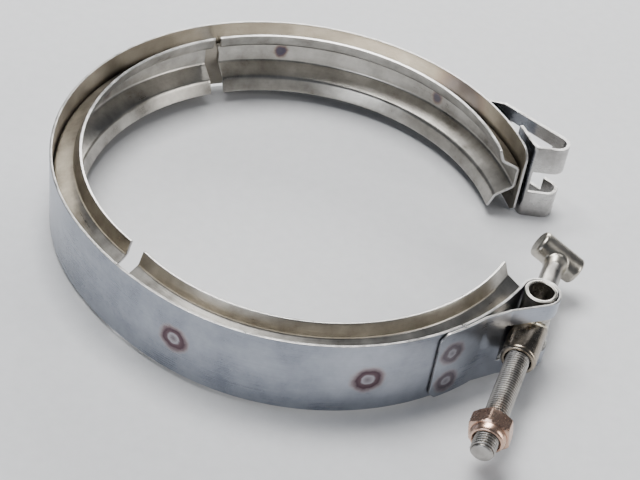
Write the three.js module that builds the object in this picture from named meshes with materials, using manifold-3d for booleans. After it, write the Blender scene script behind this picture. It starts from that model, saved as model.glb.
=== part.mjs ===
// V-band clamp for a flanged pipe joint, lying open with its T-bolt latch undone.
// A sheet-steel band is bent into a ring in three spans. Inside each span sits a V-shaped retainer
// segment. One band end carries a strap receiver, the other is folded round a cross tube that holds
// a guide barrel, a T-bolt and its lock nut.
// Units are millimetres and degrees. The clamp lies flat, and +Z is up.
import * as THREE from 'three';
import { mergeVertices } from 'three/addons/utils/BufferGeometryUtils.js';
import Module from 'manifold-3d';

const wasm = await Module();
wasm.setup();

// Driving dimensions
const CLEARANCE = 0.3;
const ARC_STEP = 4;

const BAND = { thickness: 0.9, width: 28.6, endChamfer: 3, lapChamfer: 2.5 };
const REAR_SPAN = { radius: 86.5, start: 116.7, end: 231 };
const RECEIVER_SPAN = { radius: 86.8, openedBy: -0.6, end: 12.6 };
const TRUNNION_SPAN = { radius: 83, openedBy: 8.5, tubeAt: -30.7 };
const HINGE_GAP = 0.2;

const RETAINER = {
  thickness: 1.1,
  lift: 1.4,
  webHalfHeight: 4.2,
  legDepth: 6.9,
  legRise: 3.8,
  footDepth: 1.9,
  footRise: 5,
  webBend: 1.8,
  footBend: 2,
  receiverEnds: [114.2, 14],
  rearEnds: [118.7, 228.4],
  trunnionEnds: [-136.5, -26.6],
  endLean: 2.3,
};

const RECEIVER = {
  thickness: 1.4,
  halfHeight: 15.9,
  weldHalfHeight: 12.5,
  weldStart: 53,
  weldEnd: 37,
  frontY: 20.9,
  legDirection: -40.5,
  tipRadius: 4.4,
  cornerX: 86.6,
  cornerRadius: 1.6,
  tailRadius: 88.9,
  tailEnd: 22.5,
  windowHalfHeight: 10.4,
  slotHalfHeight: 4.8,
  slotLeft: 87.4,
};

const TUBE = { radius: 5.5, wall: 1.25, length: 29.2, crossHole: 4.5 };
const LOOP = {
  windowHalfHeight: 7.7,
  windowReach: 5.2,
  lapStart: -58.9,
  lapEnd: -46.5,
  bend: [72.9, -67.2],
};
const BARREL = { radius: 6, bore: 4.3, front: 19.6, back: 3, rim: 1.3 };
const BOLT = { radius: 3.93, heading: 72.2, tip: 62.8, head: 37.2, threadEnd: 12, tipChamfer: 0.8 };
const HEAD = { radius: 5.1, length: 17.6, edge: 0.9, tilt: -26.6, neck: 5.6, neckLength: 4 };
const NUT = { acrossFlats: 12.7, hexNear: 49.2, hexFar: 55.2, end: 57.6, collar: 5.6, bore: 4.25, turn: 50 };

// The ring's outline centre and the height of its lowest edge, which place the model's origin.
const PLAN_CENTRE = [8.906, -15.572];

// Materials
function steel(color, roughness, metalness) {
  return new THREE.MeshStandardMaterial({ color, roughness, metalness });
}
const BAND_STEEL = steel(0xa9aeb8, 0.32, 0.9);
const RETAINER_STEEL = steel(0xa39e93, 0.5, 0.85);
const RECEIVER_STEEL = steel(0xa4a09a, 0.34, 0.9);
const TUBE_STEEL = steel(0x8f8a82, 0.42, 0.88);
const BARREL_STEEL = steel(0x7d7466, 0.38, 0.88);
const BOLT_STEEL = steel(0x9c968c, 0.36, 0.9);
const NUT_PLATING = steel(0xb98d6c, 0.3, 0.92);

// Plan geometry: points are THREE.Vector2, angles are in degrees
function unit(angle) {
  const a = THREE.MathUtils.degToRad(angle);
  return new THREE.Vector2(Math.cos(a), Math.sin(a));
}

function polar(centre, radius, angle) {
  return unit(angle).multiplyScalar(radius).add(centre);
}

function arc(centre, radius, from, to, step = ARC_STEP) {
  const count = Math.max(1, Math.round(Math.abs(to - from) / step));
  const points = [];
  for (let i = 0; i <= count; i += 1) {
    points.push(polar(centre, radius, from + ((to - from) * i) / count));
  }
  return points;
}

// A bend of the given radius between two straight runs that would meet at corner.
function bend(before, corner, after, radius, pieces) {
  const a = before.clone().sub(corner).normalize();
  const b = after.clone().sub(corner).normalize();
  const half = Math.acos(THREE.MathUtils.clamp(a.dot(b), -1, 1)) / 2;
  const middle = a.clone().add(b).normalize().multiplyScalar(radius / Math.sin(half)).add(corner);
  const reach = radius / Math.tan(half);
  const start = a.multiplyScalar(reach).add(corner).sub(middle);
  const end = b.multiplyScalar(reach).add(corner).sub(middle);
  const turn = Math.atan2(start.cross(end), start.dot(end));
  const points = [];
  for (let i = 0; i <= pieces; i += 1) {
    const direction = start.clone().rotateAround(new THREE.Vector2(), (turn * i) / pieces);
    points.push(direction.add(middle));
  }
  return points;
}

// The polyline's points, each moved sideways so that every run shifts by distance to its left.
function offset(points, distance) {
  return points.map((point, i) => {
    const before = points[Math.max(i - 1, 0)];
    const after = points[Math.min(i + 1, points.length - 1)];
    const inward = (i > 0 ? point.clone().sub(before) : after.clone().sub(point)).normalize();
    const outward = (i < points.length - 1 ? after.clone().sub(point) : point.clone().sub(before));
    const left = (v) => new THREE.Vector2(-v.y, v.x);
    const side = left(inward).add(left(outward.normalize())).normalize();
    return side.multiplyScalar(distance / side.dot(left(inward))).add(point);
  });
}

// Solid geometry
function solid(vertices, triangles) {
  const geometry = new THREE.BufferGeometry();
  geometry.setAttribute('position', new THREE.Float32BufferAttribute(vertices, 3));
  geometry.setIndex(triangles);
  const faceted = geometry.toNonIndexed();
  faceted.computeVertexNormals();
  return faceted;
}

// Joins a row of equal closed rings of vertices with walls and closes both ends with caps.
function skin(rings, caps) {
  const size = rings[0].length;
  const vertices = rings.flat().flatMap((v) => [v.x, v.y, v.z]);
  const triangles = [];
  for (let ring = 0; ring < rings.length - 1; ring += 1) {
    for (let i = 0; i < size; i += 1) {
      const a = ring * size + i;
      const b = ring * size + ((i + 1) % size);
      triangles.push(a, b + size, b, a, a + size, b + size);
    }
  }
  const last = (rings.length - 1) * size;
  for (const [a, b, c] of caps) {
    triangles.push(a, b, c, last + a, last + c, last + b);
  }
  return solid(vertices, triangles);
}

// Sheet standing on edge along a plan path; halfHeights gives its half height at each point.
function strip(path, thickness, halfHeights) {
  const left = offset(path, thickness / 2);
  const right = offset(path, -thickness / 2);
  const rings = path.map((_, i) => [
    new THREE.Vector3(left[i].x, left[i].y, -halfHeights[i]),
    new THREE.Vector3(right[i].x, right[i].y, -halfHeights[i]),
    new THREE.Vector3(right[i].x, right[i].y, halfHeights[i]),
    new THREE.Vector3(left[i].x, left[i].y, halfHeights[i]),
  ]);
  return skin(rings, [[0, 1, 2], [0, 2, 3]]);
}

function manifoldOf(geometry) {
  const bare = geometry.clone();
  bare.deleteAttribute('normal');
  bare.deleteAttribute('uv');
  const merged = mergeVertices(bare, 1e-4);
  return new wasm.Manifold(new wasm.Mesh({
    numProp: 3,
    vertProperties: new Float32Array(merged.attributes.position.array),
    triVerts: new Uint32Array(merged.index.array),
  }));
}

function geometryOf(manifold) {
  const mesh = manifold.getMesh();
  return solid(Array.from(mesh.vertProperties), Array.from(mesh.triVerts));
}

function cut(geometry, ...tools) {
  return geometryOf(tools.reduce((body, tool) => body.subtract(manifoldOf(tool)), manifoldOf(geometry)));
}

function join(geometry, ...others) {
  return geometryOf(others.reduce((body, other) => body.add(manifoldOf(other)), manifoldOf(geometry)));
}

// Upright prism over a plan outline, centred on the band's mid height.
function prism(outline, halfHeight) {
  const shape = new THREE.Shape(outline);
  const depth = 2 * halfHeight;
  return new THREE.ExtrudeGeometry(shape, { depth, bevelEnabled: false }).translate(0, 0, -halfHeight);
}

// Turned piece whose axis runs along +X; profile points are [x, radius].
function turned(profile, sides, phase = 0) {
  const points = profile.map(([x, radius]) => new THREE.Vector2(radius, x));
  const geometry = new THREE.LatheGeometry(points, sides);
  return geometry.rotateY(THREE.MathUtils.degToRad(phase)).rotateZ(-Math.PI / 2);
}

// Ring layout
const CENTRE = new THREE.Vector2(0, 0);

function sideSpan(jointAngle, startAngle, radius) {
  const joint = polar(CENTRE, REAR_SPAN.radius, jointAngle);
  return { radius, start: startAngle, centre: joint.sub(unit(startAngle).multiplyScalar(radius)) };
}

const RECEIVER_ARC = sideSpan(
  REAR_SPAN.start,
  REAR_SPAN.start + RECEIVER_SPAN.openedBy,
  RECEIVER_SPAN.radius,
);
const TRUNNION_ARC = sideSpan(
  REAR_SPAN.end,
  REAR_SPAN.end - TRUNNION_SPAN.openedBy - 360,
  TRUNNION_SPAN.radius,
);
const REAR_ARC = { radius: REAR_SPAN.radius, start: REAR_SPAN.start, centre: CENTRE };

const LOOP_RADIUS = TUBE.radius + CLEARANCE + BAND.thickness / 2;
const TUBE_CENTRE = polar(
  TRUNNION_ARC.centre,
  TRUNNION_ARC.radius - BAND.thickness / 2 + LOOP_RADIUS,
  TRUNNION_SPAN.tubeAt,
);

// Band spans
function bandArc(span, from, to) {
  return arc(span.centre, span.radius - BAND.thickness / 2, from, to);
}

function even(path, halfHeight) {
  return path.map(() => halfHeight);
}

function bandRearSpan() {
  const path = bandArc(REAR_ARC, REAR_SPAN.end - HINGE_GAP / 2, REAR_SPAN.start + HINGE_GAP / 2);
  return strip(path, BAND.thickness, even(path, BAND.width / 2));
}

function bandReceiverSpan() {
  const corner = THREE.MathUtils.radToDeg(BAND.endChamfer / RECEIVER_ARC.radius);
  const from = RECEIVER_ARC.start - HINGE_GAP / 2;
  const path = bandArc(RECEIVER_ARC, from, RECEIVER_SPAN.end + corner);
  const heights = even(path, BAND.width / 2);
  path.push(polar(RECEIVER_ARC.centre, RECEIVER_ARC.radius - BAND.thickness / 2, RECEIVER_SPAN.end));
  heights.push(BAND.width / 2 - BAND.endChamfer);
  return strip(path, BAND.thickness, heights);
}

// Where the outer leg of the loop, coming from its bend, touches the circle round the tube.
function loopTangentAngle(from) {
  const reach = TUBE_CENTRE.clone().sub(from);
  const lean = Math.asin(LOOP_RADIUS / reach.length());
  return THREE.MathUtils.radToDeg(reach.angle() - lean) - 90;
}

function bandTrunnionSpan() {
  const lapRadius = TRUNNION_ARC.radius + CLEARANCE + BAND.thickness / 2;
  const lapPoint = (angle) => polar(TRUNNION_ARC.centre, lapRadius, angle);
  const lapCorner = THREE.MathUtils.radToDeg(BAND.lapChamfer / lapRadius);
  const legBend = new THREE.Vector2(...LOOP.bend);
  const touch = loopTangentAngle(legBend);
  const touchPoint = polar(TUBE_CENTRE, LOOP_RADIUS, touch);
  const ringPart = bandArc(TRUNNION_ARC, TRUNNION_ARC.start + HINGE_GAP / 2, TRUNNION_SPAN.tubeAt);
  const loopPart = arc(TUBE_CENTRE, LOOP_RADIUS, 180 + TRUNNION_SPAN.tubeAt, touch, 18).slice(1);
  const legPart = bend(touchPoint, legBend, lapPoint(LOOP.lapEnd), 5, 4);
  const lapPart = arc(TRUNNION_ARC.centre, lapRadius, LOOP.lapEnd, LOOP.lapStart + lapCorner);
  const path = [...ringPart, ...loopPart, ...legPart, ...lapPart, lapPoint(LOOP.lapStart)];
  const heights = even(path, BAND.width / 2);
  heights[heights.length - 1] -= BAND.lapChamfer;
  const whole = strip(path, BAND.thickness, heights);
  const { x, y } = TUBE_CENTRE;
  const windowOutline = [
    [legBend.x - 1.5, legBend.y - 4],
    [x + 12, legBend.y - 4],
    [x + 12, y + 12],
    [x - LOOP.windowReach, y + 12],
    [x - LOOP.windowReach, y - 2],
    [legBend.x + 1.5, legBend.y + 4],
  ].map(([px, py]) => new THREE.Vector2(px, py));
  return cut(whole, prism(windowOutline, LOOP.windowHalfHeight));
}

// V-retainer segments
function retainerProfile(bandRadius) {
  const web = bandRadius - BAND.thickness - CLEARANCE - RETAINER.thickness / 2;
  const knee = web - RETAINER.legDepth;
  const kneeHeight = RETAINER.webHalfHeight + RETAINER.legRise;
  const half = [
    new THREE.Vector2(web, RETAINER.webHalfHeight),
    new THREE.Vector2(knee, kneeHeight),
    new THREE.Vector2(knee - RETAINER.footDepth, kneeHeight + RETAINER.footRise),
  ];
  const webMiddle = new THREE.Vector2(web, 0);
  const upper = [
    ...bend(webMiddle, half[0], half[1], RETAINER.webBend, 3),
    ...bend(half[0], half[1], half[2], RETAINER.footBend, 3),
    half[2],
  ];
  const lower = upper.map((p) => new THREE.Vector2(p.x, -p.y)).reverse();
  const middle = [...lower, ...upper];
  const outside = offset(middle, -RETAINER.thickness / 2);
  const inside = offset(middle, RETAINER.thickness / 2).reverse();
  return [...outside, ...inside];
}

// The upper half of the segment's far end runs on by lean degrees at its foot.
function retainer(span, [from, to], lean = 0) {
  const profile = retainerProfile(span.radius);
  const low = Math.min(from, to);
  const high = Math.max(from, to);
  const count = Math.round((high - low) / ARC_STEP);
  const footHeight = Math.max(...profile.map((p) => p.y));
  const rings = [];
  for (let i = 0; i <= count; i += 1) {
    const angle = low + ((high - low) * i) / count;
    const reach = i === count ? lean / footHeight : 0;
    rings.push(profile.map((p) => {
      const plan = polar(span.centre, p.x, angle + reach * Math.max(0, p.y));
      return new THREE.Vector3(plan.x, plan.y, p.y + RETAINER.lift);
    }));
  }
  return skin(rings, THREE.ShapeUtils.triangulateShape(profile, []));
}

// Strap receiver
function receiverPath() {
  const { centre, radius } = RECEIVER_ARC;
  const weldRadius = radius + CLEARANCE + RECEIVER.thickness / 2;
  const weld = arc(centre, weldRadius, RECEIVER.weldStart, RECEIVER.weldEnd);
  const leave = weld[weld.length - 1];
  const slope = Math.tan(THREE.MathUtils.degToRad(RECEIVER.legDirection));
  const tip = new THREE.Vector2(leave.x + (RECEIVER.frontY - leave.y) / slope, RECEIVER.frontY);
  const corner = new THREE.Vector2(RECEIVER.cornerX, RECEIVER.frontY);
  const tail = polar(centre, RECEIVER.tailRadius, RECEIVER.tailEnd);
  const shoulder = unit(RECEIVER.legDirection).multiplyScalar(9).add(leave);
  return {
    leave,
    points: [
      ...weld,
      shoulder,
      ...bend(leave, tip, corner, RECEIVER.tipRadius, 8),
      ...bend(tip, corner, tail, RECEIVER.cornerRadius, 3),
      tail,
    ],
    weldPoints: weld.length,
  };
}

function receiverStrap() {
  const { points, leave, weldPoints } = receiverPath();
  const heights = points.map((_, i) => (i < weldPoints ? RECEIVER.weldHalfHeight : RECEIVER.halfHeight));
  const along = unit(RECEIVER.legDirection);
  const across = new THREE.Vector2(-along.y, along.x);
  const legPoint = (s, t) => leave.clone().addScaledVector(along, s).addScaledVector(across, t);
  const windowOutline = [legPoint(13, -2), legPoint(33, -2), legPoint(33, 2), legPoint(13, 2)];
  const slotOutline = [[RECEIVER.slotLeft, 16], [104, 16], [104, 40], [RECEIVER.slotLeft, 40]];
  return cut(
    strip(points, RECEIVER.thickness, heights),
    prism(windowOutline, RECEIVER.windowHalfHeight),
    prism(slotOutline.map(([x, y]) => new THREE.Vector2(x, y)), RECEIVER.slotHalfHeight),
  );
}

// Latch: every piece is made with the tube axis at the origin and the T-head towards +X
function trunnionTube() {
  const ring = new THREE.Shape().absarc(0, 0, TUBE.radius, 0, 2 * Math.PI);
  ring.holes.push(new THREE.Path().absarc(0, 0, TUBE.radius - TUBE.wall, 0, 2 * Math.PI, true));
  const depth = TUBE.length;
  const tube = new THREE.ExtrudeGeometry(ring, { depth, bevelEnabled: false, curveSegments: 14 });
  const hole = new THREE.CylinderGeometry(TUBE.crossHole, TUBE.crossHole, 4 * TUBE.radius, 24);
  return cut(tube.translate(0, 0, -depth / 2), hole.rotateZ(Math.PI / 2));
}

function guideBarrel() {
  const { radius, bore, front, back, rim } = BARREL;
  const sleeve = turned([
    [-back, bore],
    [-back, radius],
    [-front + rim, radius],
    [-front + 0.3 * rim, radius - 0.3 * rim],
    [-front, radius - rim],
    [-front, bore + 0.3],
    [-front + 0.3, bore],
    [-back, bore],
  ].reverse(), 28);
  const seat = TUBE.radius + CLEARANCE;
  const saddle = new THREE.CylinderGeometry(seat, seat, 4 * radius, 28).rotateX(Math.PI / 2);
  return cut(sleeve, saddle);
}

function tBolt() {
  const { radius, tip, head, tipChamfer, threadEnd } = BOLT;
  const root = radius - tipChamfer;
  const shank = turned([
    [-tip, 0],
    [-tip, root],
    [-tip + tipChamfer, radius],
    [threadEnd, radius],
    [threadEnd + 0.6, radius - 0.25],
    [head - HEAD.radius - HEAD.neckLength + 1.5, radius - 0.25],
    [head - HEAD.radius + 1, HEAD.neck - 0.9],
    [head, HEAD.neck - 1.8],
    [head, 0],
  ], 24);
  const half = HEAD.length / 2;
  const bar = turned([
    [-half, 0],
    [-half, HEAD.radius - HEAD.edge],
    [-half + HEAD.edge, HEAD.radius],
    [half - HEAD.edge, HEAD.radius],
    [half, HEAD.radius - HEAD.edge],
    [half, 0],
  ], 24);
  bar.rotateZ(-Math.PI / 2).rotateX(THREE.MathUtils.degToRad(-HEAD.tilt)).translate(head, 0, 0);
  return join(shank, bar);
}

function lockNut() {
  const corner = NUT.acrossFlats / Math.sqrt(3);
  const hex = turned([
    [-NUT.hexFar, 0],
    [-NUT.hexFar, corner],
    [-NUT.hexNear, corner],
    [-NUT.hexNear, 0],
  ], 6, NUT.turn);
  const flat = NUT.acrossFlats / 2;
  const chamfer = turned([
    [-NUT.end, 0],
    [-NUT.end, flat],
    [-NUT.hexFar, flat],
    [-NUT.hexFar + 0.8, corner + 0.1],
    [-NUT.hexNear - 0.8, corner + 0.1],
    [-NUT.hexNear, flat],
    [-NUT.hexNear, 0],
  ], 36);
  const collar = turned([
    [-NUT.end, 0],
    [-NUT.end, NUT.collar - 0.8],
    [-NUT.end + 0.6, NUT.collar - 0.2],
    [-NUT.hexFar - 0.2, NUT.collar + 0.2],
    [-NUT.hexFar + 1, NUT.collar + 0.2],
    [-NUT.hexFar + 1, 0],
  ], 36);
  const bore = turned([
    [-NUT.end - 1, 0],
    [-NUT.end - 1, NUT.bore + 0.6],
    [-NUT.end, NUT.bore + 0.3],
    [-NUT.end + 0.4, NUT.bore],
    [-NUT.hexNear - 0.4, NUT.bore],
    [-NUT.hexNear, NUT.bore + 0.3],
    [-NUT.hexNear + 1, NUT.bore + 0.6],
    [-NUT.hexNear + 1, 0],
  ], 24);
  const chamfered = geometryOf(manifoldOf(hex).intersect(manifoldOf(chamfer)));
  return cut(join(chamfered, collar), bore);
}

// Assembly
function piece(name, geometry, material) {
  const mesh = new THREE.Mesh(geometry, material);
  mesh.name = name;
  return mesh;
}

const ring = new THREE.Group();
ring.add(
  piece('band_rear_span', bandRearSpan(), BAND_STEEL),
  piece('band_receiver_span', bandReceiverSpan(), BAND_STEEL),
  piece('band_trunnion_span', bandTrunnionSpan(), BAND_STEEL),
  piece('retainer_rear', retainer(REAR_ARC, RETAINER.rearEnds), RETAINER_STEEL),
  piece(
    'retainer_receiver',
    retainer(RECEIVER_ARC, RETAINER.receiverEnds, RETAINER.endLean),
    RETAINER_STEEL,
  ),
  piece('retainer_trunnion', retainer(TRUNNION_ARC, RETAINER.trunnionEnds), RETAINER_STEEL),
  piece('receiver_strap', receiverStrap(), RECEIVER_STEEL),
);

const latch = new THREE.Group();
latch.position.set(TUBE_CENTRE.x, TUBE_CENTRE.y, 0);
latch.rotation.z = THREE.MathUtils.degToRad(BOLT.heading);
latch.add(
  piece('trunnion_tube', trunnionTube(), TUBE_STEEL),
  piece('guide_barrel', guideBarrel(), BARREL_STEEL),
  piece('t_bolt', tBolt(), BOLT_STEEL),
  piece('lock_nut', lockNut(), NUT_PLATING),
);

const clamp = new THREE.Group();
clamp.position.set(-PLAN_CENTRE[0], -PLAN_CENTRE[1], RECEIVER.halfHeight);
clamp.add(ring, latch);

const model = new THREE.Group();
model.add(clamp);

export default model;
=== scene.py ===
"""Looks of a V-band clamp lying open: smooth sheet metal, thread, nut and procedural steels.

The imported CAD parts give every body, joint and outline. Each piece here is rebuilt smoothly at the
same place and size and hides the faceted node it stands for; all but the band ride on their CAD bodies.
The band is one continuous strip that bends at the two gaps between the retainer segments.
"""
import math

import bmesh
import bpy
from mathutils import Matrix, Vector, noise

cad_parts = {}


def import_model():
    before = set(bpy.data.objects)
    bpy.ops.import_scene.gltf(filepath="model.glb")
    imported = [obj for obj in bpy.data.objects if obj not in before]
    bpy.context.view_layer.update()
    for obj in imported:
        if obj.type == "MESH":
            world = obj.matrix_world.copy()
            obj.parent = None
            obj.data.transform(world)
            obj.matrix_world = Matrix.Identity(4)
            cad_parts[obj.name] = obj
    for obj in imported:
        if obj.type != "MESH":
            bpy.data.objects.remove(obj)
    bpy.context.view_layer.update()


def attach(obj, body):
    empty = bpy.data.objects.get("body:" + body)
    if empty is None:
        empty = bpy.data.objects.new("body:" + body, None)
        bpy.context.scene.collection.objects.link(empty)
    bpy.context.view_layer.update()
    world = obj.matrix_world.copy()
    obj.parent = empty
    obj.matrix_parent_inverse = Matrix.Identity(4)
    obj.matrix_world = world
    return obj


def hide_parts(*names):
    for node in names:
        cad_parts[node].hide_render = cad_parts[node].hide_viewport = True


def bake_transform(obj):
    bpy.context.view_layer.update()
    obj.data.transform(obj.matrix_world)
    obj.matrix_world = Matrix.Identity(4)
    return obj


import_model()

# Driving dimensions, the same as the CAD part's
MM = 0.001
PLAN_CENTRE = (8.906, -15.572)
MID_HEIGHT = 15.9
CLEARANCE = 0.3

BAND = {"thickness": 0.9, "half": 14.3, "end_chamfer": 3, "lap_chamfer": 2.5}
REAR = {"radius": 86.5, "start": 116.7, "end": 231}
RECEIVER_SPAN = {"radius": 86.8, "opened": -0.6, "end": 12.6}
TRUNNION_SPAN = {"radius": 83, "opened": 8.5, "tube_at": -30.7}

RETAINER = {
    "thickness": 1.1,
    "lift": 1.4,
    "web_half": 4.2,
    "leg_depth": 6.9,
    "leg_rise": 3.8,
    "foot_depth": 1.9,
    "foot_rise": 5,
    "web_bend": 1.8,
    "foot_bend": 2,
}
RETAINER_ENDS = {"receiver": (114.2, 14), "rear": (118.7, 228.4), "trunnion": (-136.5, -26.6)}
END_LEAN = 2.3

RECEIVER = {
    "thickness": 1.4,
    "half": 15.9,
    "weld_half": 12.5,
    "weld_start": 53,
    "weld_end": 37,
    "front_y": 20.9,
    "leg_direction": -40.5,
    "tip_radius": 4.4,
    "corner_x": 86.6,
    "corner_radius": 1.6,
    "tail_radius": 88.9,
    "tail_end": 22.5,
    "window_half": 10.4,
    "window": (13, 33),
    "slot_half": 4.8,
    "slot_left": 87.4,
    "slot_top": 40,
}

TUBE = {"radius": 5.5, "wall": 1.25, "half": 14.6, "cross_hole": 4.5}
LOOP = {
    "window_half": 7.7,
    "reach": 5.2,
    "lap_start": -58.9,
    "lap_end": -46.5,
    "bend": (72.9, -67.2),
    "apex": -10,
    "edge_room": 0.6,
}
BARREL = {"radius": 6, "bore": 4.3, "front": 19.6, "back": 3, "rim": 1.3}
BOLT = {
    "radius": 3.93,
    "root": 3.3,
    "pitch": 1.058,
    "heading": 72.2,
    "tip": 62.8,
    "head": 37.2,
    "thread_end": 8,
}
HEAD = {"radius": 5.1, "length": 17.6, "tilt": -26.6, "edge": 1.1, "neck": 4.5, "neck_length": 4}
NUT = {
    "flats": 12.7,
    "corner_share": 1.135,
    "near": 49.2,
    "far": 55.2,
    "end": 57.6,
    "collar": 5.6,
    "bore": 4.15,
    "turn": 50,
}

# How far the strip's set is spread on each side of the trunnion-side hinge
BAND_EASE = 24


# Plan geometry
def unit(angle):
    turned = math.radians(angle)
    return Vector((math.cos(turned), math.sin(turned)))


def polar(centre, radius, angle):
    return centre + unit(angle) * radius


def arc(centre, radius, start, end, step=0.6):
    count = max(1, round(abs(end - start) / step))
    return [polar(centre, radius, start + (end - start) * i / count) for i in range(count + 1)]


def bend(before, corner, after, radius, pieces):
    """A bend between two straight runs that would meet at corner."""
    a = (before - corner).normalized()
    b = (after - corner).normalized()
    half = math.acos(max(-1, min(1, a.dot(b)))) / 2
    middle = corner + (a + b).normalized() * radius / math.sin(half)
    reach = radius / math.tan(half)
    start = corner + a * reach - middle
    end = corner + b * reach - middle
    turn = math.atan2(start.x * end.y - start.y * end.x, start.dot(end))
    return [middle + Matrix.Rotation(turn * i / pieces, 2) @ start for i in range(pieces + 1)]


def densify(path, step):
    """The same path with its long runs split, so that every run is at most step long."""
    points = [path[0]]
    for a, b in zip(path, path[1:]):
        count = max(1, math.ceil((b - a).length / step))
        points += [a.lerp(b, i / count) for i in range(1, count + 1)]
    return points


def ease_kink(path, joint, centre, kink, reach):
    """Spreads the kink at the joint over a reach of strip on each side, outward from the ring."""
    eased = []
    for point in path:
        left = max(0, reach - (point - joint).length)
        outward = (point - centre).normalized()
        eased.append(point + outward * math.radians(kink) * left ** 2 / (4 * reach))
    return eased


def place(point, height):
    """A plan point at a height above the band's mid plane, in the row frame."""
    x, y = point.x - PLAN_CENTRE[0], point.y - PLAN_CENTRE[1]
    return Vector((x, y, MID_HEIGHT + height)) * MM


ORIGIN = Vector((0, 0))


def side_arc(joint_angle, start_angle, radius):
    joint = polar(ORIGIN, REAR["radius"], joint_angle)
    return {"centre": joint - unit(start_angle) * radius, "radius": radius, "start": start_angle}


RECEIVER_ARC = side_arc(REAR["start"], REAR["start"] + RECEIVER_SPAN["opened"], RECEIVER_SPAN["radius"])
TRUNNION_ARC = side_arc(REAR["end"], REAR["end"] - TRUNNION_SPAN["opened"] - 360, TRUNNION_SPAN["radius"])
REAR_ARC = {"centre": ORIGIN, "radius": REAR["radius"], "start": REAR["start"]}
LOOP_RADIUS = TUBE["radius"] + CLEARANCE + BAND["thickness"] / 2
TUBE_CENTRE = polar(
    TRUNNION_ARC["centre"],
    TRUNNION_ARC["radius"] - BAND["thickness"] / 2 + LOOP_RADIUS,
    TRUNNION_SPAN["tube_at"],
)


# Mesh helpers
def finish_mesh(name, mesh, materials):
    piece = bpy.data.objects.new(name, mesh)
    bpy.context.scene.collection.objects.link(piece)
    for material in materials:
        mesh.materials.append(material)
    mesh.shade_smooth()
    return piece


def apply_modifiers(piece):
    """The piece's mesh becomes what its modifiers make of it."""
    graph = bpy.context.evaluated_depsgraph_get()
    graph.update()
    baked = bpy.data.meshes.new_from_object(piece.evaluated_get(graph))
    piece.modifiers.clear()
    piece.data = baked
    return piece


def bridge(shape, rings, looped=False, capped=False):
    """Faces between a row of equal rings of vertices, which may loop back or be capped."""
    pairs = list(zip(rings, rings[1:]))
    if looped:
        pairs.append((rings[-1], rings[0]))
    for a, b in pairs:
        for k in range(len(a)):
            n = (k + 1) % len(a)
            shape.faces.new((a[k], a[n], b[n], b[k]))
    if capped:
        shape.faces.new(rings[0])
        shape.faces.new(rings[-1])
    bmesh.ops.recalc_face_normals(shape, faces=shape.faces)


def circle(shape, x, radius, sides):
    """A ring of new vertices about the bolt's line."""
    points = [unit(360 * k / sides) * radius for k in range(sides)]
    return [shape.verts.new(Vector((x, p.x, p.y)) * MM) for p in points]


def to_piece(name, shape, materials):
    mesh = bpy.data.meshes.new(name)
    shape.to_mesh(mesh)
    shape.free()
    return finish_mesh(name, mesh, materials)


def sheet(name, columns, thickness, materials, bevel=0.16, skip=None, swapped=None):
    """Sheet metal over a grid of points, columns[i][j], given real thickness and rounded edges.

    skip(i, j) is true for a grid cell that is a hole. The second material goes on the cut edges and
    a third one on the sheet's left side, and from row swapped on, the two sides change materials; on the band
    these carry the painted blue and warm reflections.
    The attribute "strip" keeps each point's distance along and across the sheet, in metres.
    """
    shape = bmesh.new()
    layer = shape.verts.layers.float_vector.new("strip")
    rows = []
    along = 0.0
    middle = len(columns[0]) // 2
    for i, column in enumerate(columns):
        if i:
            along += (column[middle] - columns[i - 1][middle]).length
        across = 0.0
        row = []
        for j, point in enumerate(column):
            if j:
                across += (point - column[j - 1]).length
            vertex = shape.verts.new(point)
            vertex[layer] = (along, across, 0)
            row.append(vertex)
        rows.append(row)
    for i in range(len(rows) - 1):
        for j in range(len(rows[0]) - 1):
            if skip is None or not skip(i, j):
                face = shape.faces.new((rows[i][j], rows[i + 1][j], rows[i + 1][j + 1], rows[i][j + 1]))
                # From row swapped on, the faces take the third material, so the band's painted reflections
                # change sides
                face.material_index = 2 if swapped is not None and i >= swapped else 0
    bmesh.ops.remove_doubles(shape, verts=shape.verts, dist=1e-6)
    loose = [v for v in shape.verts if not v.link_faces]
    bmesh.ops.delete(shape, geom=loose, context="VERTS")
    piece = to_piece(name, shape, materials)
    wall = piece.modifiers.new("wall", "SOLIDIFY")
    wall.thickness = thickness * MM
    wall.offset = 0
    wall.use_even_offset = True
    wall.material_offset_rim = 1
    wall.material_offset = 2 if len(materials) > 2 else 0
    edge = piece.modifiers.new("edge", "BEVEL")
    edge.width = bevel * MM
    edge.segments = 2
    edge.limit_method = "ANGLE"
    edge.angle_limit = math.radians(50)
    piece.modifiers.new("normals", "WEIGHTED_NORMAL").keep_sharp = True
    return apply_modifiers(piece)


def turned(name, profile, materials, sides=64, closed=False):
    """A turned piece about the bolt's line; profile points are (distance towards the head, radius)."""
    shape = bmesh.new()
    rings = [circle(shape, x, radius, sides) for x, radius in profile]
    bridge(shape, rings, looped=closed, capped=not closed)
    return to_piece(name, shape, materials)


def cut(piece, tool):
    """Takes the tool's solid out of the piece and deletes the tool."""
    knife = piece.modifiers.new("cut", "BOOLEAN")
    knife.operation = "DIFFERENCE"
    knife.solver = "EXACT"
    knife.object = tool
    apply_modifiers(piece)
    bpy.data.objects.remove(tool)
    return piece


def to_latch(piece):
    """Moves a piece made about the bolt's line to the latch's place in the row frame."""
    turn = Matrix.Rotation(math.radians(BOLT["heading"]), 4, "Z")
    piece.data.transform(Matrix.Translation(place(TUBE_CENTRE, 0)) @ turn)
    return piece


def soften(piece, width):
    edge = piece.modifiers.new("edge", "BEVEL")
    edge.width = width * MM
    edge.segments = 2
    edge.limit_method = "ANGLE"
    edge.angle_limit = math.radians(35)
    piece.modifiers.new("normals", "WEIGHTED_NORMAL").keep_sharp = True
    return apply_modifiers(piece)


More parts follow.
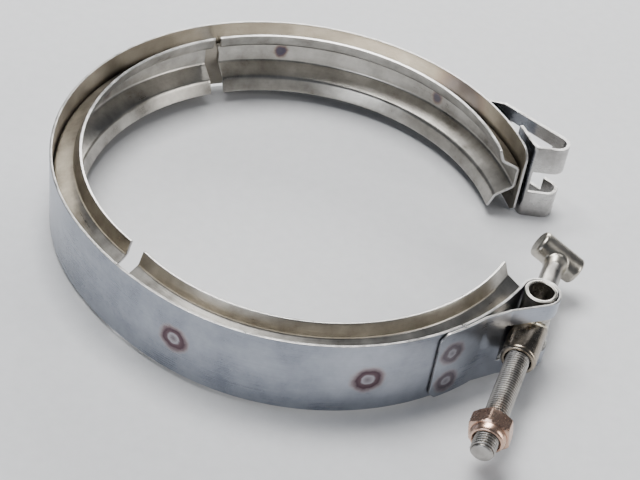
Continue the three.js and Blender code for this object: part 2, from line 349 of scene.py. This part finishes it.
# Materials
class Nodes:
    """Short names for the shader nodes that the steels are made of."""

    def __init__(self, name):
        self.material = bpy.data.materials.new(name)
        self.material.use_nodes = True
        self.tree = self.material.node_tree
        self.shader = self.tree.nodes["Principled BSDF"]

    def add(self, kind, **settings):
        node = self.tree.nodes.new(kind)
        for key, value in settings.items():
            setattr(node, key, value)
        return node

    def join(self, source, target):
        self.tree.links.new(source, target)

    def place(self):
        return self.add("ShaderNodeTexCoord").outputs["Object"]

    def strip(self):
        return self.add("ShaderNodeAttribute", attribute_name="strip").outputs["Vector"]

    def stretch(self, source, scale):
        node = self.add("ShaderNodeMapping")
        node.inputs["Scale"].default_value = scale
        self.join(source, node.inputs["Vector"])
        return node.outputs["Vector"]

    def noise(self, source, scale, detail=4, roughness=0.55):
        node = self.add("ShaderNodeTexNoise")
        node.inputs["Scale"].default_value = scale
        node.inputs["Detail"].default_value = detail
        node.inputs["Roughness"].default_value = roughness
        self.join(source, node.inputs["Vector"])
        return node.outputs["Fac"]

    def ramp(self, source, stops):
        node = self.add("ShaderNodeValToRGB")
        points = node.color_ramp.elements
        while len(points) < len(stops):
            points.new(0.5)
        for point, (position, color) in zip(points, stops):
            point.position = position
            point.color = (*color, 1) if len(color) == 3 else color
        self.join(source, node.inputs["Fac"])
        return node.outputs["Color"]

    def range(self, source, low, high, to_low, to_high):
        node = self.add("ShaderNodeMapRange")
        for key, value in zip(("From Min", "From Max", "To Min", "To Max"), (low, high, to_low, to_high)):
            node.inputs[key].default_value = value
        self.join(source, node.inputs["Value"])
        return node.outputs["Result"]

    def math(self, operation, a, b):
        node = self.add("ShaderNodeMath", operation=operation)
        for socket, value in zip(node.inputs, (a, b)):
            if isinstance(value, (int, float)):
                socket.default_value = value
            else:
                self.join(value, socket)
        return node.outputs["Value"]

    def mix(self, factor, a, b, blend="MIX"):
        node = self.add("ShaderNodeMix", data_type="RGBA", blend_type=blend)
        for socket, value in ((node.inputs[0], factor), (node.inputs[6], a), (node.inputs[7], b)):
            if isinstance(value, (int, float)):
                socket.default_value = value
            elif isinstance(value, tuple):
                socket.default_value = (*value, 1)
            else:
                self.join(value, socket)
        return node.outputs[2]

    def distance(self, source, point):
        node = self.add("ShaderNodeVectorMath", operation="DISTANCE")
        node.inputs[1].default_value = point
        self.join(source, node.inputs[0])
        return node.outputs["Value"]


def steel(name, dark, light, roughness, grain, mottle=55, tints=(), brush=0.35, relief=0.22):
    """Stainless steel: mottled colour, rolling lines, uneven gloss and heat tint round each weld.

    grain is "strip" where rolling lines follow the sheet, "thread" where painted shade darkens a
    thread's root, or the stretch of the machining lines.
    tints are (point, radius, strength, ringed) of the welds' heat marks, and relief is the bump's.
    """
    n = Nodes(name)
    here = n.place()
    if grain == "strip":
        lines = n.noise(n.stretch(n.strip(), (25, 2600, 1)), 1, 5, 0.6)
    elif grain == "thread":
        lines = n.noise(here, 700, 4)
    else:
        lines = n.noise(n.stretch(here, grain), 1, 5, 0.6)
    patches = n.noise(here, mottle, 6, 0.62)
    stains = n.noise(here, mottle * 4.5, 8, 0.7)
    color = n.ramp(patches, [(0.32, dark), (0.68, light)])
    streaks = n.ramp(lines, [(0.3, (0.72, 0.72, 0.72)), (0.7, (1, 1, 1))])
    color = n.mix(brush, color, streaks, "MULTIPLY")
    specks = n.range(stains, 0.62, 0.78, 0, 0.3)
    color = n.mix(specks, color, tuple(0.45 * c for c in dark))
    if grain == "thread":
        # Painted shade: the thread's root is darkened where the crest attribute falls to 0
        crest = n.add("ShaderNodeAttribute", attribute_name="crest").outputs["Fac"]
        color = n.mix(1, color, n.ramp(crest, [(0.0, (0.12, 0.10, 0.085)), (0.75, (1, 1, 1))]), "MULTIPLY")
    rough = n.range(patches, 0.3, 0.7, roughness[0], roughness[1])
    rough = n.math("ADD", rough, n.range(lines, 0.3, 0.7, -0.02, 0.04))
    for point, radius, strength, ringed in tints:
        wobble = n.range(n.noise(here, 260, 3), 0, 1, -0.0011, 0.0011)
        spread = n.math("ADD", n.distance(here, point), wobble)
        reach = n.range(spread, 0, radius * MM, 0, 1)
        heat = n.ramp(reach, HEAT_RING if ringed else HEAT_SPOT)
        mask = n.ramp(reach, [(0.0, (0.9,) * 3), (0.6, (1,) * 3), (0.8, (0.6,) * 3), (1.0, (0,) * 3)])
        color = n.mix(n.math("MULTIPLY", mask, strength), color, heat)
    bumps = n.math("ADD", n.math("MULTIPLY", lines, 0.5), n.math("MULTIPLY", stains, 0.5))
    bump = n.add("ShaderNodeBump")
    bump.inputs["Strength"].default_value = relief
    bump.inputs["Distance"].default_value = 0.00008
    n.join(bumps, bump.inputs["Height"])
    n.join(bump.outputs["Normal"], n.shader.inputs["Normal"])
    n.join(color, n.shader.inputs["Base Color"])
    n.join(rough, n.shader.inputs["Roughness"])
    n.shader.inputs["Metallic"].default_value = 1.0
    return n.material


# Heat colours from a weld's middle outward, as (share of the mark's radius, colour)
HEAT_RING = [
    (0.0, (0.16, 0.13, 0.14)),
    (0.18, (0.30, 0.27, 0.29)),
    (0.30, (0.40, 0.38, 0.41)),
    (0.42, (0.12, 0.07, 0.08)),
    (0.62, (0.07, 0.035, 0.045)),
    (0.78, (0.20, 0.11, 0.10)),
    (1.0, (0.52, 0.42, 0.36)),
]
HEAT_SPOT = [
    (0.0, (0.035, 0.03, 0.055)),
    (0.45, (0.05, 0.04, 0.075)),
    (0.7, (0.16, 0.10, 0.09)),
    (1.0, (0.42, 0.34, 0.26)),
]
LAP_RING = 0.75  # strength of the paler marks on the strap and the lap


def on_arc(span, radius, angle, height):
    return tuple(place(polar(span["centre"], radius, angle), height))


BAND_WELDS = [
    (on_arc(TRUNNION_ARC, 83, -118.5, 0), 6.2, 0.95, True),
    (on_arc(TRUNNION_ARC, 83, -74.5, -0.5), 6.2, 0.95, True),
    (on_arc(TRUNNION_ARC, 84.2, -55, 4.7), 5.4, LAP_RING, True),
    (on_arc(TRUNNION_ARC, 84.2, -55, -7.9), 5.4, LAP_RING, True),
    (on_arc(REAR_ARC, 86.5, 174, 0), 6.2, 0.9, True),
    (on_arc(RECEIVER_ARC, 86.8, 97, 0), 6.2, 0.9, True),
]
INSIDE_WELDS = [(on_arc(RECEIVER_ARC, 86, 44, 6), 17, 0.55, False)]
RETAINER_WELDS = [
    (on_arc(RECEIVER_ARC, 84, 97, 1.9), 3.6, 0.9, False),
    (on_arc(RECEIVER_ARC, 84, 51, 1.6), 3.4, 0.8, False),
    (on_arc(REAR_ARC, 84, 151.5, 1.6), 3.4, 0.5, False),
    (on_arc(TRUNNION_ARC, 80.5, -118.5, 1.6), 3.6, 0.8, False),
    (on_arc(TRUNNION_ARC, 80.5, -74.5, 1.6), 3.6, 0.8, False),
]
STRAP_WELDS = [
    (on_arc(RECEIVER_ARC, 88, 48, 5), 5.4, LAP_RING, True),
    (on_arc(RECEIVER_ARC, 88, 48, -6), 5.4, LAP_RING, True),
]

# The band's outer side: the same steel, blue-grey from a painted reflection, with the welds' heat marks
BAND_STEEL_BLUE_REFLECTION = steel(
    "band_steel", (0.22, 0.24, 0.285), (0.46, 0.485, 0.54), (0.24, 0.34), "strip", 34, BAND_WELDS)
# The band's inner side: the same steel, tan from a painted reflection of the warm parts inside the ring
BAND_INSIDE_WARM_REFLECTION = steel(
    "band_inside_warm_reflection", (0.25, 0.225, 0.185), (0.47, 0.43, 0.37), (0.26, 0.42), "strip", 38, INSIDE_WELDS)
RETAINER_STEEL = steel(
    "retainer_steel",
    (0.27, 0.255, 0.23),
    (0.56, 0.54, 0.50),
    (0.27, 0.34),
    "strip",
    90,
    RETAINER_WELDS,
    relief=0.1,
)
STRAP_STEEL = steel(
    "receiver_steel", (0.30, 0.29, 0.28), (0.60, 0.59, 0.575), (0.16, 0.32), "strip", 90, STRAP_WELDS)
CUT_EDGE = steel(
    "cut_edge", (0.34, 0.335, 0.325), (0.62, 0.61, 0.6), (0.25, 0.42), (900, 900, 90), 200)
TUBE_STEEL = steel(
    "tube_steel", (0.30, 0.285, 0.26), (0.58, 0.56, 0.52), (0.22, 0.36), (150, 150, 1800), 180)
BARREL_STEEL = steel(
    "barrel_steel", (0.19, 0.16, 0.125), (0.40, 0.35, 0.285), (0.22, 0.3), (300, 300, 900), 120, relief=0.1)
BOLT_STEEL = steel(
    "bolt_steel", (0.34, 0.315, 0.27), (0.54, 0.51, 0.45), (0.26, 0.34), (500, 500, 500), 110, relief=0.1)
# Thread steel, with painted shade darkening the thread's root
THREAD_STEEL = steel(
    "thread_steel", (0.30, 0.285, 0.265), (0.56, 0.54, 0.51), (0.26, 0.4), "thread", 110)
BRAZE = steel(
    "braze", (0.46, 0.41, 0.30), (0.74, 0.69, 0.56), (0.22, 0.36), (500, 500, 500), 300)
NUT_PLATING = steel(
    "nut_plating", (0.56, 0.36, 0.265), (0.82, 0.60, 0.48), (0.24, 0.3), (400, 400, 400), 60, relief=0.05)
# Slots for a strip: side with the painted blue reflection, edge, other side with the painted warm reflection;
# then edge and the blue side again for a turned-over stretch, whose painted reflections change sides
BAND_MATERIALS = [BAND_STEEL_BLUE_REFLECTION, CUT_EDGE, BAND_INSIDE_WARM_REFLECTION, CUT_EDGE, BAND_STEEL_BLUE_REFLECTION]


# Band
def band_columns(path, chamfer_start, chamfer_end):
    """Points across the strip at each station; its two ends lose their corners over a chamfer."""
    total = sum((b - a).length for a, b in zip(path, path[1:]))
    window = LOOP["window_half"]
    rows = [-BAND["half"], -11.5, -9.2, -window, -5, -2.5, 0, 2.5, 5, window, 9.2, 11.5, BAND["half"]]
    columns = []
    done = 0.0
    for i, point in enumerate(path):
        if i:
            done += (point - path[i - 1]).length
        lost = max(chamfer_start - done, chamfer_end - (total - done), 0)
        half = BAND["half"] - lost
        columns.append([place(point, max(-half, min(half, z))) for z in rows])
    return columns, rows


def band_arc(span, start, end):
    return arc(span["centre"], span["radius"] - BAND["thickness"] / 2, start, end)


REAR_SEAM = (REAR["start"] + REAR["end"]) / 2


def receiver_half():
    receiver_part = band_arc(RECEIVER_ARC, RECEIVER_SPAN["end"], RECEIVER_ARC["start"])
    path = receiver_part + band_arc(REAR_ARC, REAR["start"], REAR_SEAM)[1:]
    columns, _ = band_columns(path, BAND["end_chamfer"], 0)
    return sheet("band_receiver_half", columns, BAND["thickness"], BAND_MATERIALS)


def loop_tangent(start):
    """Where the loop's outer leg, coming from its bend, touches the circle round the tube."""
    reach = TUBE_CENTRE - start
    lean = math.asin(LOOP_RADIUS / reach.length)
    return math.degrees(math.atan2(reach.y, reach.x) - lean) - 90


def trunnion_half():
    lap_radius = TRUNNION_ARC["radius"] + CLEARANCE + BAND["thickness"] / 2
    centre = TRUNNION_ARC["centre"]
    leg_bend = Vector(LOOP["bend"])
    touch = loop_tangent(leg_bend)
    rear_part = band_arc(REAR_ARC, REAR_SEAM, REAR["end"])
    ring_part = band_arc(TRUNNION_ARC, TRUNNION_ARC["start"], TRUNNION_SPAN["tube_at"])[1:]
    loop_part = arc(TUBE_CENTRE, LOOP_RADIUS, 180 + TRUNNION_SPAN["tube_at"], touch, 5)[1:]
    lap_corner = polar(centre, lap_radius, LOOP["lap_end"])
    leg_part = bend(polar(TUBE_CENTRE, LOOP_RADIUS, touch), leg_bend, lap_corner, 5, 14)
    lap_part = arc(centre, lap_radius, LOOP["lap_end"], LOOP["lap_start"])
    path = densify(rear_part + ring_part + loop_part + leg_part + lap_part, 0.9)
    joint = polar(ORIGIN, REAR["radius"] - BAND["thickness"] / 2, REAR["end"])
    path = ease_kink(path, joint, ORIGIN, TRUNNION_SPAN["opened"], BAND_EASE)
    columns, rows = band_columns(path, 0, BAND["lap_chamfer"])
    loop_start = len(rear_part) + len(ring_part) - 12

    def in_window(i, j):
        if i < loop_start or abs(rows[j] + rows[j + 1]) / 2 > LOOP["window_half"]:
            return False
        point = (path[i] + path[i + 1]) / 2
        if point.x < TUBE_CENTRE.x - LOOP["reach"] and point.y > leg_bend.y + 4:
            return False
        edge = leg_bend.x + (point.y - leg_bend.y) * 1.5 / 4
        return point.x > min(edge, leg_bend.x + 1.5) - LOOP["edge_room"]

    apex = polar(TUBE_CENTRE, LOOP_RADIUS, LOOP["apex"])
    turned_over = min(range(len(path)), key=lambda i: (path[i] - apex).length)
    # From the loop's apex on, the lap's outward face takes the painted blue reflection of the band's outside
    return sheet(
        "band_trunnion_half", columns, BAND["thickness"], BAND_MATERIALS, skip=in_window, swapped=turned_over)


# Retainers
def retainer_profile(band_radius):
    """The V's mid line from its lower foot to its upper foot, as (radius, height) points."""
    r = RETAINER
    web = band_radius - BAND["thickness"] - CLEARANCE - r["thickness"] / 2
    knee = Vector((web - r["leg_depth"], r["web_half"] + r["leg_rise"]))
    foot = knee + Vector((-r["foot_depth"], r["foot_rise"]))
    shoulder = Vector((web, r["web_half"]))
    upper = bend(Vector((web, 0)), shoulder, knee, r["web_bend"], 7)
    upper += bend(shoulder, knee, foot, r["foot_bend"], 7)
    upper.append(foot)
    lower = [Vector((p.x, -p.y)) for p in reversed(upper)]
    return lower + upper


def retainer(side, span, lean=0):
    """One V segment; the upper half of its far end runs on by lean degrees at its foot."""
    start, end = sorted(RETAINER_ENDS[side])
    profile = densify(retainer_profile(span["radius"]), 1.2)
    station, lean_over = 0.8, 5
    count = round((end - start) / station)
    columns = []
    for i in range(count + 1):
        angle = start + (end - start) * i / count
        reach = lean * max(0, 1 - (end - angle) / lean_over) / profile[-1].y
        column = []
        for p in profile:
            plan = polar(span["centre"], p.x, angle + reach * max(0, p.y))
            column.append(place(plan, p.y + RETAINER["lift"]))
        columns.append(column)
    return sheet(f"retainer_{side}_smooth", columns, RETAINER["thickness"], [RETAINER_STEEL, CUT_EDGE], 0.2)


# Strap receiver
def receiver_strap():
    r = RECEIVER
    centre, radius = RECEIVER_ARC["centre"], RECEIVER_ARC["radius"]
    weld = arc(centre, radius + CLEARANCE + r["thickness"] / 2, r["weld_start"], r["weld_end"])
    leave = weld[-1]
    slope = math.tan(math.radians(r["leg_direction"]))
    tip = Vector((leave.x + (r["front_y"] - leave.y) / slope, r["front_y"]))
    corner = Vector((r["corner_x"], r["front_y"]))
    tail = polar(centre, r["tail_radius"], r["tail_end"])
    along = unit(r["leg_direction"])
    widens_over = 9
    shoulder = leave + along * widens_over
    marks = [leave + along * s for s in r["window"]]
    turn_round = bend(leave, tip, corner, r["tip_radius"], 24)
    turn_in = bend(tip, corner, tail, r["corner_radius"], 8)
    marks = [m for m in marks if (m - leave).length < (turn_round[0] - leave).length]
    path = densify([*weld, shoulder, *marks, *turn_round, *turn_in, tail], 0.6)
    levels = [-15.9, -14.4, -12.5, -r["window_half"], -8, -6.4, -r["slot_half"], -2.4, 0]
    levels += [-z for z in reversed(levels[:-1])]
    weld_end = len(weld) - 1
    on_leg_above = 30
    columns = []
    for point in path:
        run = (point - leave).dot(along)
        grown = max(0, min(1, run / widens_over)) if point.y > on_leg_above else 1
        half = r["weld_half"] + (r["half"] - r["weld_half"]) * grown
        columns.append([place(point, max(-half, min(half, z))) for z in levels])

    def hole(i, j):
        point = (path[i] + path[i + 1]) / 2
        height = abs(levels[j] + levels[j + 1]) / 2
        run = (point - leave).dot(along)
        off_leg = abs((point - leave).dot(Vector((-along.y, along.x))))
        in_window = off_leg < 2 and r["window"][0] < run < r["window"][1] and height < r["window_half"]
        in_slot = point.x > r["slot_left"] and point.y < r["slot_top"] and height < r["slot_half"]
        return i > weld_end and (in_window or in_slot)

    return sheet("receiver_strap_smooth", columns, r["thickness"], [STRAP_STEEL, CUT_EDGE], 0.25, hole)


# Latch
def upright(piece):
    """Stands a piece made about the bolt's line on end, on the tube's axis."""
    piece.data.transform(Matrix.Rotation(math.radians(-90), 4, "Y"))
    return piece


def rounded(a, b, inner, outer, edge):
    """A closed tube profile from a to b between two radii, with its four corners rounded."""
    return [
        (a, inner + edge), (a, outer - edge), (a + 0.3 * edge, outer - 0.3 * edge), (a + edge, outer),
        (b - edge, outer), (b - 0.3 * edge, outer - 0.3 * edge), (b, outer - edge), (b, inner + edge),
        (b - 0.3 * edge, inner + 0.3 * edge), (b - edge, inner), (a + edge, inner),
        (a + 0.3 * edge, inner + 0.3 * edge),
    ]


def trunnion_tube():
    t = TUBE
    profile = rounded(-t["half"], t["half"], t["radius"] - t["wall"], t["radius"], 0.2)
    tube = upright(turned("trunnion_tube_smooth", profile, [TUBE_STEEL], 72, True))
    hole = turned("tube_hole", [(-9, t["cross_hole"]), (9, t["cross_hole"])], [CUT_EDGE], 48)
    return to_latch(soften(cut(tube, hole), 0.12))


def guide_barrel():
    b = BARREL
    lip_centre = Vector((-b["front"] + b["rim"], b["radius"] - b["rim"]))
    lip = [lip_centre + unit(angle) * b["rim"] for angle in range(90, 181, 15)]
    profile = [(-b["back"], b["bore"]), (-b["back"], b["radius"])]
    profile += [(p.x, p.y) for p in lip]
    profile += [(-b["front"], b["bore"] + 0.3), (-b["front"] + 0.3, b["bore"])]
    barrel = turned("guide_barrel_smooth", profile, [BARREL_STEEL], 72, True)
    seat = TUBE["radius"] + CLEARANCE
    saddle = upright(turned("saddle", [(-14, seat), (14, seat)], [BARREL_STEEL], 72))
    return to_latch(soften(cut(barrel, saddle), 0.18))


def braze_bead():
    """The uneven brazed run that holds the barrel to the tube, along the upper edge of the saddle."""
    shape = bmesh.new()
    rings = []
    sides, stations = 12, 40
    half_turn = 62
    seat = TUBE["radius"] + 0.35
    for i in range(stations + 1):
        share = i / stations
        around = math.radians(half_turn * (2 * share - 1))
        swell = math.sin(math.pi * share) ** 0.5
        side = BARREL["radius"] * math.sin(around)
        rise = BARREL["radius"] * math.cos(around)
        middle = Vector((-math.sqrt(max(seat ** 2 - side ** 2, 0.4)) - 0.25, side, rise - 0.15))
        size = (0.25 + 0.55 * swell) * (1 + 0.35 * noise.noise(Vector((share * 9, 0, 0))))
        ring = []
        for k in range(sides):
            p = unit(360 * k / sides) * size
            ring.append(shape.verts.new((middle + Vector((p.x, 0, p.y))) * MM))
        rings.append(ring)
    bridge(shape, rings, capped=True)
    return to_latch(to_piece("braze_bead", shape, [BRAZE]))


def threaded_shank():
    """The bolt's rolled thread and plain neck, as one turned surface whose radius follows a helix."""
    b = BOLT
    sides = 48
    neck_radius = b["radius"] - 0.25
    # The flank rises from the root, 0, and is cut off at the crest, 1
    crest_level, flank_slope = 1.35, 3.4 / 0.75
    tip_chamfer, run_out_length = 0.9, 2
    step = b["pitch"] / 9
    thread_length = b["tip"] + b["thread_end"]
    stations = round(thread_length / step)
    depth = b["radius"] - b["root"]
    shape = bmesh.new()
    crest = shape.verts.layers.float.new("crest")
    rings = []
    for i in range(stations + 1):
        x = -b["tip"] + i * step
        ring = []
        for k in range(sides):
            phase = (x / b["pitch"] - k / sides) % 1
            flank = min(1, max(0, crest_level - flank_slope * abs(phase - 0.5)))
            start = min(1, (x + b["tip"]) / tip_chamfer)
            run_out = min(1, (b["thread_end"] - x) / run_out_length)
            top = b["root"] - 0.35 + (depth + 0.35) * start
            radius = min(top, b["root"] + depth * flank)
            radius = radius * run_out + neck_radius * (1 - run_out)
            p = unit(360 * k / sides) * radius
            vertex = shape.verts.new(Vector((x, p.x, p.y)) * MM)
            # crest is 1 on the crest and 0 in the root, where the thread's material paints shade
            vertex[crest] = max(flank, 1 - run_out, 1 - start)
            ring.append(vertex)
        rings.append(ring)
    neck = b["head"] - HEAD["radius"]
    for x in (b["thread_end"] + 1, neck / 2 + b["thread_end"] / 2, neck - 3, neck + 1):
        rings.append(circle(shape, x, neck_radius, sides))
        for vertex in rings[-1]:
            vertex[crest] = 1
    bridge(shape, rings, capped=True)
    return to_latch(to_piece("bolt_shank", shape, [THREAD_STEEL]))


def t_head():
    """The forged T: a bar across the neck, blended into it by a fillet."""
    h, b = HEAD, BOLT
    half, radius, edge = h["length"] / 2, h["radius"], h["edge"]
    on_axis = 0.01
    end = [(half - edge, radius), (half - 0.4, radius - 0.35), (half, radius - edge), (half, on_axis)]
    profile = [(-x, r) for x, r in reversed(end)] + end
    bar = turned("bolt_head", profile, [BOLT_STEEL])
    lay = Matrix.Rotation(math.radians(-h["tilt"]), 4, "X") @ Matrix.Rotation(math.radians(-90), 4, "Z")
    bar.data.transform(Matrix.Translation(Vector((b["head"], 0, 0)) * MM) @ lay)
    start = b["head"] - radius - h["neck_length"]
    neck = turned("neck", [
        (start, on_axis), (start, b["radius"] - 0.28), (start + 2, b["radius"] - 0.24),
        (b["head"] - radius + 0.9, h["neck"]), (b["head"], h["neck"] - 0.4), (b["head"], on_axis),
    ], [BOLT_STEEL])
    union = bar.modifiers.new("union", "BOOLEAN")
    union.operation = "UNION"
    union.solver = "EXACT"
    union.object = neck
    apply_modifiers(bar)
    bpy.data.objects.remove(neck)
    remesh = bar.modifiers.new("remesh", "REMESH")
    remesh.mode = "VOXEL"
    remesh.voxel_size = 0.28 * MM
    remesh.use_smooth_shade = True
    smooth = bar.modifiers.new("smooth", "SMOOTH")
    smooth.factor = 0.6
    smooth.iterations = 9
    return to_latch(apply_modifiers(bar))


def lock_nut():
    """Hexagon with chamfered corners, and a round locking collar on its outer end."""
    n = NUT
    sides = 144
    hex_steps = 24
    flat, collar, bore = n["flats"] / 2, n["collar"], n["bore"]
    chamfer_slope = 1.75
    stations = []
    for i in range(hex_steps + 1):
        x = -n["near"] - (n["far"] - n["near"]) * i / hex_steps
        from_face = min(x + n["far"], -n["near"] - x)
        stations.append((x, flat - 0.3 + from_face * chamfer_slope, True))
    stations += [
        (-n["far"], collar + 0.25, False),
        (-n["far"] - 0.8, collar + 0.1, False),
        (-n["end"] + 0.7, collar - 0.15, False),
        (-n["end"] + 0.3, collar - 0.4, False),
        (-n["end"] + 0.08, collar - 0.7, False),
        (-n["end"], bore + 0.45, False),
        (-n["end"] + 0.35, bore, False),
        (-n["near"] - 0.4, bore, False),
        (-n["near"], bore + 0.6, False),
    ]
    shape = bmesh.new()
    rings = []
    for x, limit, is_hex in stations:
        ring = []
        for k in range(sides):
            angle = 360 * k / sides
            radius = limit
            if is_hex:
                off_flat = abs((angle - n["turn"]) % 60 - 30)
                radius = min(limit, flat / math.cos(math.radians(30 - off_flat)), flat * n["corner_share"])
            p = unit(angle) * radius
            ring.append(shape.verts.new(Vector((x, p.x, p.y)) * MM))
        rings.append(ring)
    bridge(shape, rings, looped=True)
    nut = to_piece("lock_nut_smooth", shape, [NUT_PLATING])
    split = nut.modifiers.new("split", "EDGE_SPLIT")
    split.split_angle = math.radians(24)
    return to_latch(apply_modifiers(nut))


# Pieces on their CAD bodies
def ride(piece, body, slot, *nodes):
    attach(piece, body)
    if nodes:
        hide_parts(*nodes)


def bend_band(piece, side, joint_span, angles, *nodes):
    """Bakes the strip's placement into its mesh and hides the CAD nodes it stands for. The strip is built
    already bent between the end span and the rear span, within the gap between retainers.
    """
    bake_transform(piece)
    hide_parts(*nodes)


bend_band(receiver_half(), "receiver_end", REAR_ARC, (114.6, 118.6), "band_receiver_span", "band_rear_span")
bend_band(trunnion_half(), "trunnion_end", REAR_ARC, (233, 229), "band_trunnion_span")
ride(retainer("rear", REAR_ARC), "rear", "retainer_steel", "retainer_rear")
ride(retainer("receiver", RECEIVER_ARC, END_LEAN), "receiver_end", "retainer_steel", "retainer_receiver")
ride(retainer("trunnion", TRUNNION_ARC), "trunnion_end", "retainer_steel", "retainer_trunnion")
ride(receiver_strap(), "receiver_end", "receiver_steel", "receiver_strap")
ride(trunnion_tube(), "trunnion", "tube_steel", "trunnion_tube")
ride(guide_barrel(), "trunnion", "barrel_steel", "guide_barrel")
ride(braze_bead(), "trunnion", "barrel_steel")
ride(threaded_shank(), "bolt", "bolt_steel", "t_bolt")
ride(t_head(), "bolt", "bolt_steel")
ride(lock_nut(), "nut", "nut_plating", "lock_nut")

# Studio
FLOOR_SIZE = 6.0
CAMERA = {"place": (-18.75, -386.84, 335.02), "yaw": 3.144, "pitch": -40.388, "roll": 9.245, "lens": 80.32}
SOFTBOXES = [
    ("key", (-0.2, 0.25, 1.1), (0.7, 0.5), 21, (1.0, 0.99, 0.97)),
    ("back", (0.25, 1.2, 0.5), (1.1, 0.35), 19, (1.0, 0.99, 0.96)),
    ("side", (1.1, -0.4, 0.45), (0.3, 0.8), 7, (1.0, 0.97, 0.93)),
    ("front", (-0.7, -1.1, 0.35), (0.6, 0.3), 5, (0.9, 0.94, 1.0)),
]


def floor():
    bpy.ops.mesh.primitive_plane_add(size=FLOOR_SIZE)
    plane = bpy.context.object
    plane.name = "floor"
    n = Nodes("floor_paper")
    grain = n.noise(n.place(), 220, 5)
    paper = n.ramp(grain, [(0.3, (0.62, 0.63, 0.65)), (0.7, (0.66, 0.67, 0.69))])
    n.join(paper, n.shader.inputs["Base Color"])
    n.shader.inputs["Roughness"].default_value = 0.85
    plane.data.materials.append(n.material)


def softboxes():
    for name, where, size, power, color in SOFTBOXES:
        light = bpy.data.lights.new(name, "AREA")
        light.shape = "RECTANGLE"
        light.size, light.size_y = size
        light.energy = power
        light.color = color
        lamp = bpy.data.objects.new(name, light)
        lamp.location = where
        lamp.rotation_euler = (-Vector(where)).to_track_quat("-Z", "Y").to_euler()
        bpy.context.scene.collection.objects.link(lamp)


def world():
    sky = bpy.data.worlds.new("studio")
    sky.use_nodes = True
    light = sky.node_tree.nodes["Background"]
    light.inputs["Color"].default_value = (0.55, 0.62, 0.75, 1)
    light.inputs["Strength"].default_value = 0.15
    bpy.context.scene.world = sky


def camera():
    view = bpy.data.cameras.new("camera")
    view.lens = CAMERA["lens"]
    view.sensor_width = 36
    view.clip_start = 0.01
    eye = bpy.data.objects.new("camera", view)
    aim = Matrix.Rotation(math.radians(-CAMERA["yaw"]), 4, "Z")
    aim = aim @ Matrix.Rotation(math.radians(90 + CAMERA["pitch"]), 4, "X")
    aim = aim @ Matrix.Rotation(math.radians(CAMERA["roll"]), 4, "Z")
    eye.matrix_world = Matrix.Translation(Vector(CAMERA["place"]) * MM) @ aim
    bpy.context.scene.collection.objects.link(eye)
    bpy.context.scene.camera = eye


floor()
softboxes()
world()
camera()
